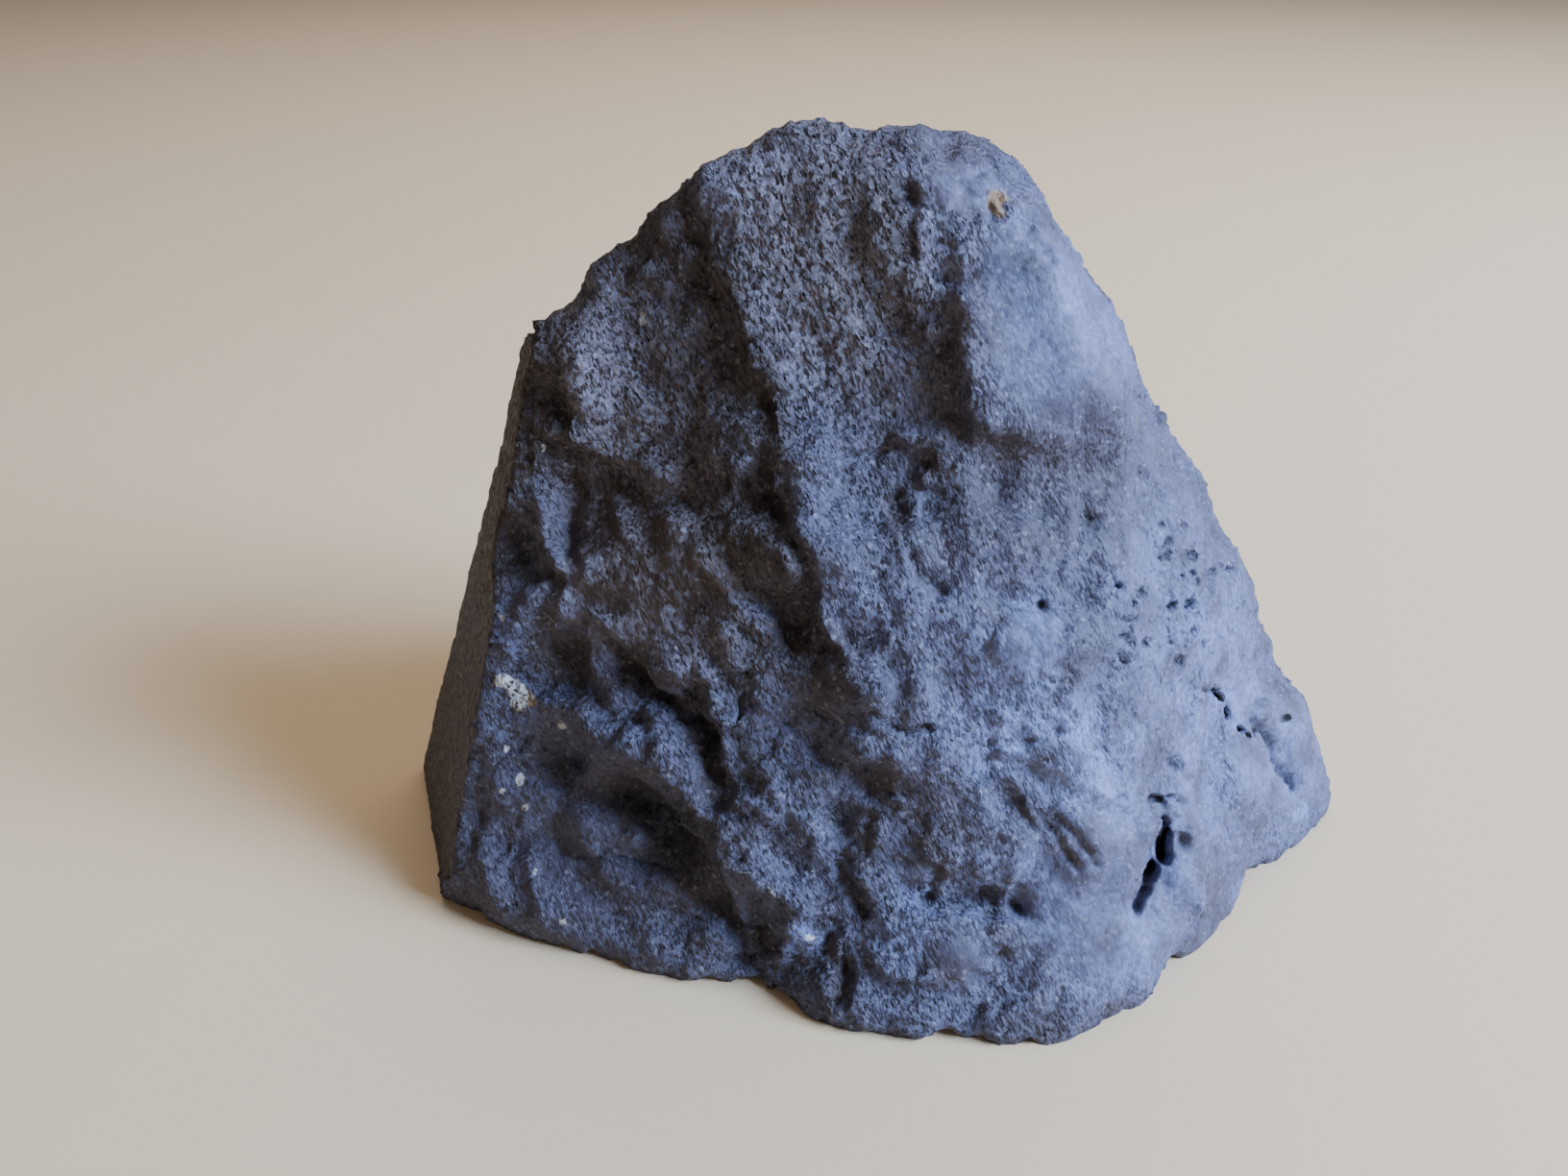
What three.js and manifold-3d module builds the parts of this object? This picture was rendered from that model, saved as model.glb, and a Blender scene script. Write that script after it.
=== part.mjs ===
// A rough, dark stone about a hand wide. It stands on a flat sawn base, and one narrow side is sawn flat too.
// Millimetres, +Z up, +X to the right of the broad rough face, which looks towards -Y.
import * as THREE from "three";
import { mergeVertices } from "three/addons/utils/BufferGeometryUtils.js";
import { ImprovedNoise } from "three/addons/math/ImprovedNoise.js";
import Module from "manifold-3d";

const wasm = await Module();
wasm.setup();

const SKIN_DETAIL = 22; // rows of triangles on each face of the ball that is drawn onto the stone
const FRONT_BIAS = 0.25; // how far the rows are drawn towards the broad face
const CORE = new THREE.Vector3(0, 0, 30); // the middle of an upright plate inside the stone
const PLATE = new THREE.Vector3(36, 0, 26); // that plate's half sizes: the skin is drawn outwards from it
const REACH = new THREE.Vector3(30, 40, 30); // from there to the skin, roughly
const EDGE_ROUNDING = 4; // where two broken faces of the stone meet
const RIM_ROUNDING = 1; // where a hollow breaks through a face
const ROOT_ROUNDING = 3; // where a lump grows out of a face

// The direction that a face looks in. Azimuth 0 is to the right, 90 away; elevation is upwards.
function facing(azimuth, elevation) {
  const a = THREE.MathUtils.degToRad(azimuth);
  const e = THREE.MathUtils.degToRad(elevation);
  return new THREE.Vector3(Math.cos(a) * Math.cos(e), Math.sin(a) * Math.cos(e), Math.sin(e));
}

function facet(azimuth, elevation, x, y, z) {
  return { normal: facing(azimuth, elevation), point: new THREE.Vector3(x, y, z) };
}

// The broken faces: the way each one looks, and a point on it.
const facets = [
  facet(-95, 24, 5, -36.7, 2),
  facet(-46, 21, 43, -18, 0),
  facet(-8, 31, 50.8, 5, 18),
  facet(-8, 37, 19, 5, 66.2),
  facet(-8, 60, 7.6, 5, 79.2),
  facet(-112, 22, -30, -27.9, 2),
  facet(218, 32, -37, -4, 60),
  facet(175, 49, -39.5, 5, 61.4),
  facet(168, 66, -17, 5, 80.1),
  facet(-75, 85, 0, 0, 81),
  facet(82, 12, 8, 32, 0),
  facet(104, 21, -12, 29, 20),
  facet(88, 33, 0, 21, 62),
  facet(38, 22, 47, 18, 0),
  facet(140, 15, -46, 20.4, 0),
  facet(200, 14, -68, -15, 0),
];

const SAWN_SIDE = { normal: facing(200, 18), point: new THREE.Vector3(-53.5, -15, 0) };
const SAWN_BASE = { normal: new THREE.Vector3(0, 0, -1), point: new THREE.Vector3(0, 0, 0) };

const FRONT = -1;
const BACK = 1;

// Hollows in the broad face: [x, z] points along the middle, half the width at the skin, depth.
const frontHollows = [
  [[[-9, 78], [-9.5, 71], [-6.5, 65], [-5, 58], [-3, 55]], 10, 2.7], // middle flute
  [[[-6, 70], [-3.5, 65], [-2, 60]], 7, 2.9], // its steep right wall
  [[[-23.5, 64], [-22.5, 54], [-18.5, 47]], 9.5, 4.2], // left flute
  [[[-18.5, 47], [-15.5, 40], [-13, 36]], 4.6, 3.8], // its foot
  [[[-12.5, 38], [-10, 32], [-7, 27.5]], 3, 2], // channel under the ridge
  [[[-35, 44], [-30, 47.5]], 6, 4.2], // hollow under the left ledge
  [[[-41, 39]], 4, 3.5],
  [[[-34.5, 62.5]], 4, 2.4], // notch in the left shoulder
  [[[-35.5, 30]], 5, 2.4],
  [[[-29, 33], [-27, 29], [-23.5, 26.5]], 2.6, 2.2],
  [[[-31, 28.5], [-27, 26.5]], 2.6, 2],
  [[[-22.5, 29], [-20, 25.5], [-18.5, 22]], 3, 2.4],
  [[[-29, 15.5], [-26, 12.5], [-24.5, 9.5]], 5.2, 4.6], // deep pocket, low on the left
  [[[-33, 13], [-28, 9]], 7, 2.6],
  [[[-36, 20]], 4, 2],
  [[[-4, 24.5]], 3.2, 3.2],
  [[[-8, 14], [-5, 10.5]], 2.6, 2.2],
  [[[-7, 8.5]], 2.8, 2.6],
  [[[-14.5, 8.5]], 3.6, 3],
  [[[9, 14]], 3, 1.8],
  [[[1.8, 19], [2.8, 15]], 2, 1.6],
  [[[-1.3, 49.5]], 2.4, 2.2],
  [[[1.6, 53]], 2.2, 2],
  [[[28.2, 15.5], [25.5, 9.5]], 2.4, 3.6], // slot
  [[[47, 19.5], [43, 23.5], [37, 22], [34, 16]], 4, 1.4], // crease above the right foot
  [[[12, 54], [18, 51]], 7, 1],
  [[[9, 27.5], [18, 23], [25, 20]], 3, 0.9],
  [[[0, 13.5], [11, 14]], 2.4, 1.1],
  [[[20, 13], [22, 6]], 3.5, 0.8],
  [[[43.5, 0]], 4.5, 2], // notches in the foot
  [[[22, 0]], 5, 1.4],
  [[[29.5, 0]], 4, 1.6],
  [[[-17, 0], [-14, 5]], 6, 3.1],
  [[[-24, 0]], 7, 1],
  [[[-50.5, 0]], 3.6, 1.3],
];

// Lumps on the broad face: [x, z] points along the middle, the lump's radius, and how far it stands proud.
const frontLumps = [
  [[[-33.5, 62], [-34, 57], [-34.5, 53]], 4, 0.8], // left crest
  [[[-34.5, 53], [-30.5, 51], [-26, 49.5]], 2.6, 0.3], // ledge
  [[[-38, 46.5], [-36.5, 41]], 2, -0.6], // fin in the hollow under the ledge
  [[[-28, 45], [-32, 40], [-36, 35.5]], 3, 0.4],
  [[[-38.5, 35], [-41, 32.5], [-42.5, 29], [-43.5, 25.5]], 2.4, 0.3],
  [[[-32, 33.5], [-30, 30.5], [-28.5, 28]], 2, 0.4],
  [[[-26, 34.5], [-22.5, 32], [-20, 29.5]], 4, 0.8],
  [[[-35, 24], [-30, 23.5], [-25, 22], [-21.5, 20], [-19.5, 17]], 4, 0.7],
  [[[5.5, 8]], 4, 0.8],
  [[[-9.5, 8.5]], 2.4, 0.8],
  [[[11.8, 38]], 5, 0.4],
  [[[33, 32], [35, 26]], 13, 0.7], // swelling beside the right edge
  [[[10, 20], [17, 16]], 6, 0.5],
];

const backHollows = [
  [[[-14, 62], [-22, 48], [-26, 36]], 10, 2.6],
  [[[12, 50], [20, 38], [24, 24]], 12, 2.8],
  [[[-2, 30], [4, 18]], 9, 2.4],
  [[[-34, 18], [-30, 8]], 9, 3],
  [[[36, 12]], 8, 2.4],
  [[[-8, 10]], 5, 2.2],
  [[[6, 68]], 6, 1.4],
];

const backLumps = [
  [[[-4, 56], [-8, 44], [-10, 34]], 9, 0.8],
  [[[-20, 24], [-16, 18]], 7, 0.8],
  [[[16, 10], [24, 6]], 8, 1],
];

// The larger of two distances, with the corner between them rounded.
function smoothMax(a, b, rounding) {
  const h = Math.max(rounding - Math.abs(a - b), 0) / rounding;
  return Math.max(a, b) + (h * h * rounding) / 4;
}

// How far a point lies outside the faceted body, less than zero inside it.
function faceted(p) {
  let d = -1e3;
  for (const f of facets) d = smoothMax(d, f.normal.dot(p) - f.normal.dot(f.point), EDGE_ROUNDING);
  return d;
}

const OUTSIDE = 90; // further out than any of the skin
const HALVINGS = 24; // steps of a search that halves its interval each time

// The direction that the faceted body's nearest face looks in.
function outward(p) {
  const step = 0.5;
  const n = new THREE.Vector3();
  for (const axis of ["x", "y", "z"]) {
    const q = p.clone();
    q[axis] += step;
    n[axis] = faceted(q) - faceted(p);
  }
  return n.normalize();
}

// The point of the faceted body seen at x and z, from the front or from behind.
function onFace(side, x, z) {
  let outside = OUTSIDE;
  let inside = 0;
  const p = new THREE.Vector3(x, 0, z);
  for (let i = 0; i < HALVINGS; i += 1) {
    const middle = (outside + inside) / 2;
    p.y = side * middle;
    if (faceted(p) > 0) outside = middle;
    else inside = middle;
  }
  return p;
}

// A hollow is cut by a ball that runs along its path, a lump is left by one.
function hollow(side, [path, halfWidth, depth]) {
  const radius = (halfWidth * halfWidth + depth * depth) / (2 * depth);
  return { radius, centres: path.map(([x, z]) => centre(side, x, z, radius - depth)) };
}

function lump(side, [path, radius, rise]) {
  return { radius, centres: path.map(([x, z]) => centre(side, x, z, rise - radius)) };
}

function centre(side, x, z, height) {
  const p = onFace(side, x, z);
  return p.addScaledVector(outward(p), height);
}

const hollows = [...frontHollows.map((h) => hollow(FRONT, h)), ...backHollows.map((h) => hollow(BACK, h))];
const lumps = [...frontLumps.map((l) => lump(FRONT, l)), ...backLumps.map((l) => lump(BACK, l))];

const nearest = new THREE.Vector3();
const stretch = new THREE.Line3();

// How far a point lies outside a ball that has run along its path.
function fromBall({ radius, centres }, p) {
  let d = p.distanceTo(centres[0]);
  for (let i = 1; i < centres.length; i += 1) {
    stretch.set(centres[i - 1], centres[i]).closestPointToPoint(p, true, nearest);
    d = Math.min(d, p.distanceTo(nearest));
  }
  return d - radius;
}

// Uneven swells over the whole skin, as their spacing and height.
const swells = [
  [11, 0.9],
  [5, 0.5],
];
const noise = new ImprovedNoise();
const swell = (p, [spacing, height]) => height * noise.noise(p.x / spacing, p.y / spacing, p.z / spacing);

function solid(p) {
  let d = faceted(p);
  for (const ball of lumps) d = -smoothMax(-d, -fromBall(ball, p), ROOT_ROUNDING);
  for (const ball of hollows) d = smoothMax(d, -fromBall(ball, p), RIM_ROUNDING);
  return swells.reduce((sum, s) => sum + swell(p, s), d);
}

const FURTHEST = 3; // reaches from the plate that are sure to be outside the skin

// The point of the skin that one direction out of the plate meets.
function onSkin(direction) {
  let low = 0;
  let high = FURTHEST;
  const p = new THREE.Vector3();
  for (let i = 0; i < HALVINGS; i += 1) {
    const middle = (low + high) / 2;
    p.copy(REACH).multiplyScalar(middle).add(PLATE).multiply(direction).add(CORE);
    if (solid(p) < 0) low = middle;
    else high = middle;
  }
  return p;
}

function skinGeometry() {
  const geometry = new THREE.IcosahedronGeometry(1, SKIN_DETAIL);
  const position = geometry.getAttribute("position");
  const direction = new THREE.Vector3();
  for (let i = 0; i < position.count; i += 1) {
    direction.fromBufferAttribute(position, i).normalize();
    direction.y -= FRONT_BIAS;
    const p = onSkin(direction.normalize());
    position.setXYZ(i, p.x, p.y, p.z);
  }
  return geometry;
}

function toSolid(geometry) {
  const bare = new THREE.BufferGeometry().setAttribute("position", geometry.getAttribute("position"));
  if (geometry.index) bare.setIndex(geometry.index);
  const merged = mergeVertices(bare, 1e-4);
  return new wasm.Manifold(
    new wasm.Mesh({
      numProp: 3,
      vertProperties: merged.getAttribute("position").array,
      triVerts: new Uint32Array(merged.index.array),
    }),
  );
}

function toGeometry(manifold) {
  const mesh = manifold.getMesh();
  return new THREE.BufferGeometry()
    .setAttribute("position", new THREE.BufferAttribute(mesh.vertProperties, 3))
    .setIndex(new THREE.BufferAttribute(mesh.triVerts, 1));
}

// A block that takes away everything on the outer side of a sawn plane.
function sawnOff({ normal, point }) {
  const side = 400;
  const box = new THREE.BoxGeometry(side, side, side).translate(0, 0, side / 2);
  const turn = new THREE.Quaternion().setFromUnitVectors(new THREE.Vector3(0, 0, 1), normal);
  box.applyQuaternion(turn).translate(point.x, point.y, point.z);
  return toSolid(box);
}

// The origin is under the middle of the stone, on the surface that it stands on.
function centred(geometry) {
  geometry.computeBoundingBox();
  const { min, max } = geometry.boundingBox;
  return geometry.translate(-(min.x + max.x) / 2, -(min.y + max.y) / 2, -min.z);
}

const body = toSolid(skinGeometry())
  .subtract(sawnOff(SAWN_BASE))
  .subtract(sawnOff(SAWN_SIDE));

const darkStone = new THREE.MeshStandardMaterial({ color: 0x2c3038, roughness: 0.8, metalness: 0 });
const stone = new THREE.Mesh(centred(toGeometry(body)), darkStone);
stone.name = "stone";

const part = new THREE.Group();
part.add(stone);
export default part;
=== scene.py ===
import math
import random

import bmesh
import bpy
import numpy as np
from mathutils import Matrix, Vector, noise


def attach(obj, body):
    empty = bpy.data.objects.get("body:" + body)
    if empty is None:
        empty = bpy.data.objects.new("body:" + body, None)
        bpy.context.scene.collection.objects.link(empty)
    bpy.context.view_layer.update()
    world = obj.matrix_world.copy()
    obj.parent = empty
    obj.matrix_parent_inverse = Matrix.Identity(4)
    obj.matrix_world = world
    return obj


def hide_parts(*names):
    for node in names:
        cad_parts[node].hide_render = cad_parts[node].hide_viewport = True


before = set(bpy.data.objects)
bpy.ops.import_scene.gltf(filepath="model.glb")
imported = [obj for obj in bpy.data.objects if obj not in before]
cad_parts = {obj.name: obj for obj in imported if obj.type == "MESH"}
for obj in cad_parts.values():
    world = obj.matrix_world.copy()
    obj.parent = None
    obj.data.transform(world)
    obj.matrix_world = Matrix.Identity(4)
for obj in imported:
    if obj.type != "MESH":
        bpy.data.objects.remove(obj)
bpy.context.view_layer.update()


# --- Camera ----------------------------------------------------------------------------------------
# A hand-held view from just above the stone, looking down at its broad face. Places on that face are
# given below in pixels of this camera's frame, across and down from its top left corner.
MM = 0.001
FRAME_SIZE = (1632, 1224)
FOCAL_PIXELS = 1225
SENSOR_MM = 36
EYE = np.array((-11.44, -113.97, 103.0)) * MM
DIP = math.radians(32)

camera_data = bpy.data.cameras.new("camera")
camera_data.sensor_width = SENSOR_MM
camera_data.lens = SENSOR_MM * FOCAL_PIXELS / FRAME_SIZE[0]
camera_data.clip_start = 1 * MM
camera = bpy.data.objects.new("camera", camera_data)
camera.location = EYE
camera.rotation_euler = (math.pi / 2 - DIP, 0, 0)
bpy.context.scene.collection.objects.link(camera)
bpy.context.scene.camera = camera

AHEAD = np.array((0, math.cos(DIP), -math.sin(DIP)))
ABOVE = np.array((0, math.sin(DIP), math.cos(DIP)))


def in_frame(points):
    """The places in the frame, in pixels, where points on the stone are seen."""
    from_eye = points - EYE
    away = from_eye @ AHEAD
    across = FRAME_SIZE[0] / 2 + FOCAL_PIXELS * from_eye[:, 0] / away
    down = FRAME_SIZE[1] / 2 - FOCAL_PIXELS * (from_eye @ ABOVE) / away
    return np.stack((across, down), axis=1)


# --- Stone: the body -------------------------------------------------------------------------------
# One piece of dark, granular rock, broken on all sides but two: its base and its left side are sawn
# flat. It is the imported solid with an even, finer mesh, finest where pits and cracks go, and with its
# facets blended.
BODY_VOXEL = 0.88 * MM
BLEND_ROUNDS = 7
BLEND = 0.5
MERGE_GAP = 0.001 * MM
SAWN_AZIMUTH = math.radians(200)
SAWN_RISE = math.radians(18)
SAWN_NORMAL = Vector((math.cos(SAWN_AZIMUTH) * math.cos(SAWN_RISE),
                      math.sin(SAWN_AZIMUTH) * math.cos(SAWN_RISE),
                      math.sin(SAWN_RISE)))
SAWN_POINT = Vector((-52.64, -12.97, 0)) * MM
LONGEST_CUT = 3 * BODY_VOXEL
JUST_HIDDEN = -0.2
LIKE_SAWN_SIDE = 0.9
# Across, down and half width, in pixels.
FINE_PLACES = [
    (1225, 610, 70),
    (1212, 860, 25),
    (1195, 905, 28),
    (1185, 940, 20),
    (1033, 213, 24),
    (935, 528, 26),
    (965, 492, 22),
    (1268, 730, 16),
    (1292, 755, 14),
    (1082, 630, 14),
    (1205, 830, 16),
]

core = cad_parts["stone"]
stone = bpy.data.objects.new("rough_stone", core.data.copy())
bpy.context.scene.collection.objects.link(stone)


def edit(piece):
    """Opens a piece's mesh for work with bmesh operators."""
    work = bmesh.new()
    work.from_mesh(piece.data)
    return work


def keep(work, piece):
    """Puts the worked mesh back into its piece."""
    work.to_mesh(piece.data)
    work.free()
    piece.data.update()


def facing(vertex):
    """1 for a vertex that squarely faces the eye, and below 0 for one that faces away."""
    return vertex.normal.dot((Vector(EYE) - vertex.co).normalized())


def cut_finer(work, edges):
    """Cuts edges in two, and the faces beside them with them."""
    bmesh.ops.subdivide_edges(work, edges=edges, cuts=1, use_grid_fill=True, smooth=0)
    bmesh.ops.triangulate(work, faces=[face for face in work.faces if len(face.verts) > 4])


work = edit(stone)
bmesh.ops.remove_doubles(work, verts=work.verts, dist=MERGE_GAP)
keep(work, stone)

remesh = stone.modifiers.new("even mesh", "REMESH")
remesh.mode = "VOXEL"
remesh.voxel_size = BODY_VOXEL
even = bpy.data.meshes.new_from_object(stone.evaluated_get(bpy.context.evaluated_depsgraph_get()))
stone.modifiers.clear()
stone.data = even

work = edit(stone)
for vertex in work.verts:
    if vertex.co.z < BODY_VOXEL / 2:
        vertex.co.z = 0
under = [face for face in work.faces if all(vertex.co.z == 0 for vertex in face.verts)]
loose = [vertex for vertex in work.verts if vertex.co.z > 0]
rim = [vertex for vertex in work.verts if vertex.co.z == 0]
for _ in range(BLEND_ROUNDS):
    bmesh.ops.smooth_vert(work, verts=loose, factor=BLEND, use_axis_x=True, use_axis_y=True, use_axis_z=True)
    bmesh.ops.smooth_vert(work, verts=rim, factor=BLEND, use_axis_x=True, use_axis_y=True, use_axis_z=False)
bmesh.ops.dissolve_faces(work, faces=under, use_verts=True)
work.normal_update()

in_sight = {vertex for vertex in work.verts
            if facing(vertex) > JUST_HIDDEN and vertex.normal.dot(SAWN_NORMAL) < LIKE_SAWN_SIDE}
cut_finer(work, [edge for edge in work.edges
                 if in_sight.issuperset(edge.verts) and edge.calc_length() < LONGEST_CUT])

spots = in_frame(np.array([vertex.co for vertex in work.verts]))
turned_here = np.array([facing(vertex) > 0 for vertex in work.verts])
finest = np.zeros(len(spots), dtype=bool)
for across, down, half in FINE_PLACES:
    finest |= turned_here & (np.hypot(spots[:, 0] - across, spots[:, 1] - down) < half)
for vertex, chosen in zip(work.verts, finest):
    vertex.tag = bool(chosen)
cut_finer(work, [edge for edge in work.edges if edge.verts[0].tag and edge.verts[1].tag])

for edge in work.edges:
    edge.smooth = any(vertex.co.z > 0 for vertex in edge.verts)
keep(work, stone)
stone.data.shade_smooth()


# --- Stone: the forms of the broad face ------------------------------------------------------------
# The broad face is fluted and pocketed. Each form is pressed in or raised along the surface's own
# normals, by strokes whose places and widths are in pixels and whose heights are in millimetres.
ON_FLOOR = 0.01 * MM
EDGE_OF_SIGHT = 0.2
WIDE_WANDER_SIZE = 5.5  # millimetres
WIDE_WANDER = 7  # pixels
FINE_WANDER_SIZE = 1.9
FINE_WANDER = 4
WANDER_SEED = 1795495015


class Surface:
    """The stone's points and normals as arrays, while it is being shaped."""

    def __init__(self, piece):
        self.mesh = piece.data
        count = len(self.mesh.vertices)
        self.points = np.empty(count * 3, dtype=np.float32)
        self.mesh.vertices.foreach_get("co", self.points)
        self.points = self.points.reshape(-1, 3).astype(float)
        self.ends = np.empty(len(self.mesh.edges) * 2, dtype=np.int32)
        self.mesh.edges.foreach_get("vertices", self.ends)
        self.ends = self.ends.reshape(-1, 2)
        self.standing = self.points[:, 2] < ON_FLOOR
        self.waver = np.array([self.unsteady(Vector(point) / MM) for point in self.points])
        self.look()

    @staticmethod
    def unsteady(point):
        """How far a stroke wanders off its path, in pixels, so that no edge is drawn with one sweep."""
        wide = noise.noise_vector(point / WIDE_WANDER_SIZE) * WIDE_WANDER
        fine = noise.noise_vector(point / FINE_WANDER_SIZE) * FINE_WANDER
        return wide.x + fine.x, wide.y + fine.y

    def look(self):
        """Takes the normals afresh, and where in the frame each point is seen."""
        self.mesh.vertices.foreach_set("co", self.points.astype(np.float32).ravel())
        self.mesh.update()
        normals = np.empty(len(self.points) * 3, dtype=np.float32)
        self.mesh.vertices.foreach_get("normal", normals)
        self.normals = normals.reshape(-1, 3).astype(float)
        to_eye = EYE - self.points
        to_eye /= np.linalg.norm(to_eye, axis=1)[:, None]
        self.seen = np.clip((self.normals * to_eye).sum(axis=1) / EDGE_OF_SIGHT, 0, 1)
        self.places = in_frame(self.points) + self.waver

    def press(self, heights, everywhere=False):
        """Moves each point along its normal by a height in millimetres."""
        moves = self.normals * (heights * (1 if everywhere else self.seen))[:, None] * MM
        moves[self.standing, 2] = 0
        self.points += moves
        self.points[:, 2] = np.maximum(self.points[:, 2], 0)
        self.look()

    def relax(self, rounds, where=1.0):
        """Evens out the mesh, or only a region of it, where strokes have stretched it or forms are to go."""
        shares = np.broadcast_to(where, len(self.points))[:, None]
        moves = (self.mean(self.points, rounds) - self.points) * shares
        self.points[~self.standing] += moves[~self.standing]
        self.look()

    def mean(self, values, rounds):
        """Averages values with their neighbours."""
        a, b = self.ends[:, 0], self.ends[:, 1]
        count = np.bincount(self.ends.ravel(), minlength=len(values))
        for _ in range(rounds):
            total = np.stack([np.bincount(a, column[b], len(values)) + np.bincount(b, column[a], len(values))
                              for column in values.T], axis=1)
            values = 0.5 * values + 0.5 * total / np.maximum(count, 1)[:, None]
        return values


noise.seed_set(WANDER_SEED)
surface = Surface(stone)


def fade(x):
    """1 at 0 and less, 0 at 1 and more, and smooth between them."""
    x = np.clip(x, 0, 1)
    return 1 - x * x * (3 - 2 * x)


def from_path(path):
    """How far each place is from a path in pixels, above 0 on the left of someone who walks along it."""
    spots = np.array(path, dtype=float)
    best = np.full(len(surface.places), np.inf)
    side = np.ones(len(best))
    for a, b in zip(spots[:-1], spots[1:]):
        along = b - a
        offset = surface.places - a
        share = np.clip(offset @ along / (along @ along), 0, 1)
        gap = np.linalg.norm(offset - share[:, None] * along, axis=1)
        closer = gap < best
        side[closer] = np.where(offset[closer] @ np.array((along[1], -along[0])) > 0, 1, -1)
        best[closer] = gap[closer]
    return best * side


def crest(path, left, right, height):
    """A ridge that falls away over so many pixels on the left and on the right of its path."""
    gap = from_path(path)
    return height * (1 - np.clip(np.where(gap > 0, gap / left, -gap / right), 0, 1)) ** 1.6


def groove(path, half, depth):
    """A trough along a path, or with a depth below 0 a rounded rise."""
    return -depth * fade(np.abs(from_path(path)) / half)


def step(path, edge, reach, drop, side=1):
    """A ledge: the surface drops beyond an edge, and comes back over the reach."""
    gap = from_path(path) * side
    return -drop * (1 - fade(gap / edge)) * fade((gap - edge) / reach)


def pit(across, down, half, depth, long=1, turn=0):
    """A dent, or with a depth below 0 a bump, as long as asked along a turn in degrees."""
    angle = math.radians(turn)
    offset = surface.places - np.array((across, down))
    lengthwise = offset @ np.array((math.cos(angle), math.sin(angle))) / long
    crosswise = offset @ np.array((-math.sin(angle), math.cos(angle)))
    return -depth * fade(np.hypot(lengthwise, crosswise) / half)


def strokes(table, heights=0):
    """Adds a table's strokes, each given as what makes it and its numbers, to heights."""
    return sum((stroke(*numbers) for stroke, *numbers in table), heights)


def swell(height, half, *path):
    """A soft rise along a path or over one place, or with a height below 0 a soft hollow."""
    return pit(*path[0], half, -height) if len(path) == 1 else groove(path, half, -height)


def patches(table):
    """Sums round regions, each with an amount, its place and half width, and how long and turned it is."""
    return sum(amount * -pit(across, down, half, 1, *shape) for amount, across, down, half, *shape in table)


def cover(*table):
    """How much each point that is in sight belongs to such regions, from 0 to 1."""
    return np.clip(patches(table), 0, 1) * surface.seen


RIDGE = [(728, 195), (745, 250), (757, 290), (773, 340), (792, 380), (803, 420), (812, 450), (817, 500),
         (837, 545), (852, 590), (860, 640), (873, 665), (891, 695), (903, 720), (913, 745)]
WALL = RIDGE[7:12]
SHOULDER_FOOT = [(1180, 400), (1160, 440), (1110, 445), (1060, 440), (1005, 450)]
LEFT_CREST = [(630, 263), (600, 317), (600, 370), (603, 417), (590, 445)]
LEDGE = [(590, 442), (600, 460), (620, 470), (655, 480), (693, 503)]
FIN = [(556, 522), (564, 550), (576, 588)]
LEFT_RIM = [(560, 625), (545, 640), (530, 665), (525, 700)]
MIDDLE_RIM = [(640, 660), (680, 695), (712, 722), (738, 748)]
BAND_TOP = [(560, 730), (620, 735), (660, 755), (690, 765)]
POCKET_RIM = [(667, 798), (690, 812), (710, 830), (725, 848), (740, 870), (748, 895), (752, 920), (765, 950)]
FOOT_TOP = [(550, 895), (640, 905), (690, 920), (740, 960), (760, 990)]
FOOT_HOLLOW = [(480, 905), (560, 950), (660, 985), (760, 1005), (830, 1035), (900, 1060), (1040, 1070)]

# What makes each stroke, and then its path or place in pixels, widths in pixels and height or depth in
# millimetres.
BROAD_FORMS = [
    # The ridge, the steep wall on its left and the hollows below the wall.
    (crest, RIDGE, 60, 30, 0.5),
    (step, RIDGE, 10, 60, 0.7, -1),
    (step, WALL, 8, 55, 1.2, -1),
    (groove, [(720, 300), (738, 400), (760, 470)], 75, -1.8),
    (groove, [(675, 290), (690, 370), (700, 440)], 40, -0.8),
    (pit, 690, 492, 45, -1.6),
    (groove, [(745, 585), (775, 640), (800, 700)], 75, -2.0),
    (groove, [(795, 500), (815, 570)], 95, -2.6),
    (groove, [(865, 670), (885, 730), (900, 770)], 70, -1.8),
    (groove, [(710, 640), (760, 700), (820, 770), (870, 850)], 60, 0.8),
    # The middle flute, and the shoulder on its right.
    (groove, [(855, 170), (870, 240), (900, 310), (925, 360)], 95, -1.2),
    (crest, [(1003, 308), (1009, 335), (1010, 385)], 80, 14, 0.6),
    (groove, [(903, 190), (918, 235)], 50, -1.0),
    (groove, [(925, 340), (945, 425)], 45, 0.7),
    (step, [(954, 218), (955, 248)], 6, 34, 1.2, -1),
    (step, [(1001, 368), (1006, 425)], 8, 55, 1.0, -1),
    (step, SHOULDER_FOOT, 50, 190, 1.4),
    (pit, 780, 170, 90, -0.8, 1.6, -28),
    # The left end.
    (crest, LEFT_CREST, 60, 30, 0.7),
    (step, LEDGE, 8, 55, 1.0, -1),
    (pit, 530, 560, 40, 1.0, 1.4, 90),
    (pit, 595, 682, 48, 0.6, 1.1),
    # The middle and the lower half.
    (pit, 975, 470, 45, -1.6),
    (pit, 943, 468, 32, -1.2),
    (pit, 940, 565, 45, -1.6, 1.4, 80),
    (pit, 898, 575, 34, -1.2),
    (pit, 915, 655, 34, 0.9),
    (pit, 1040, 930, 60, -1.2),
    (pit, 905, 800, 60, -1.3),
    (pit, 700, 755, 34, -1.5),
    (pit, 970, 880, 45, -1.4, 1.4, 90),
    (pit, 822, 968, 45, -2.0),
    (groove, FOOT_HOLLOW, 55, -1.3),
    (pit, 635, 788, 48, -1.7),
    (pit, 620, 848, 45, -0.9),
    (pit, 710, 915, 55, -1.4),
    (groove, [(1062, 832), (1082, 875), (1110, 930)], 48, 1.8),
    (crest, POCKET_RIM, 90, 10, 1.0),
]
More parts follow.
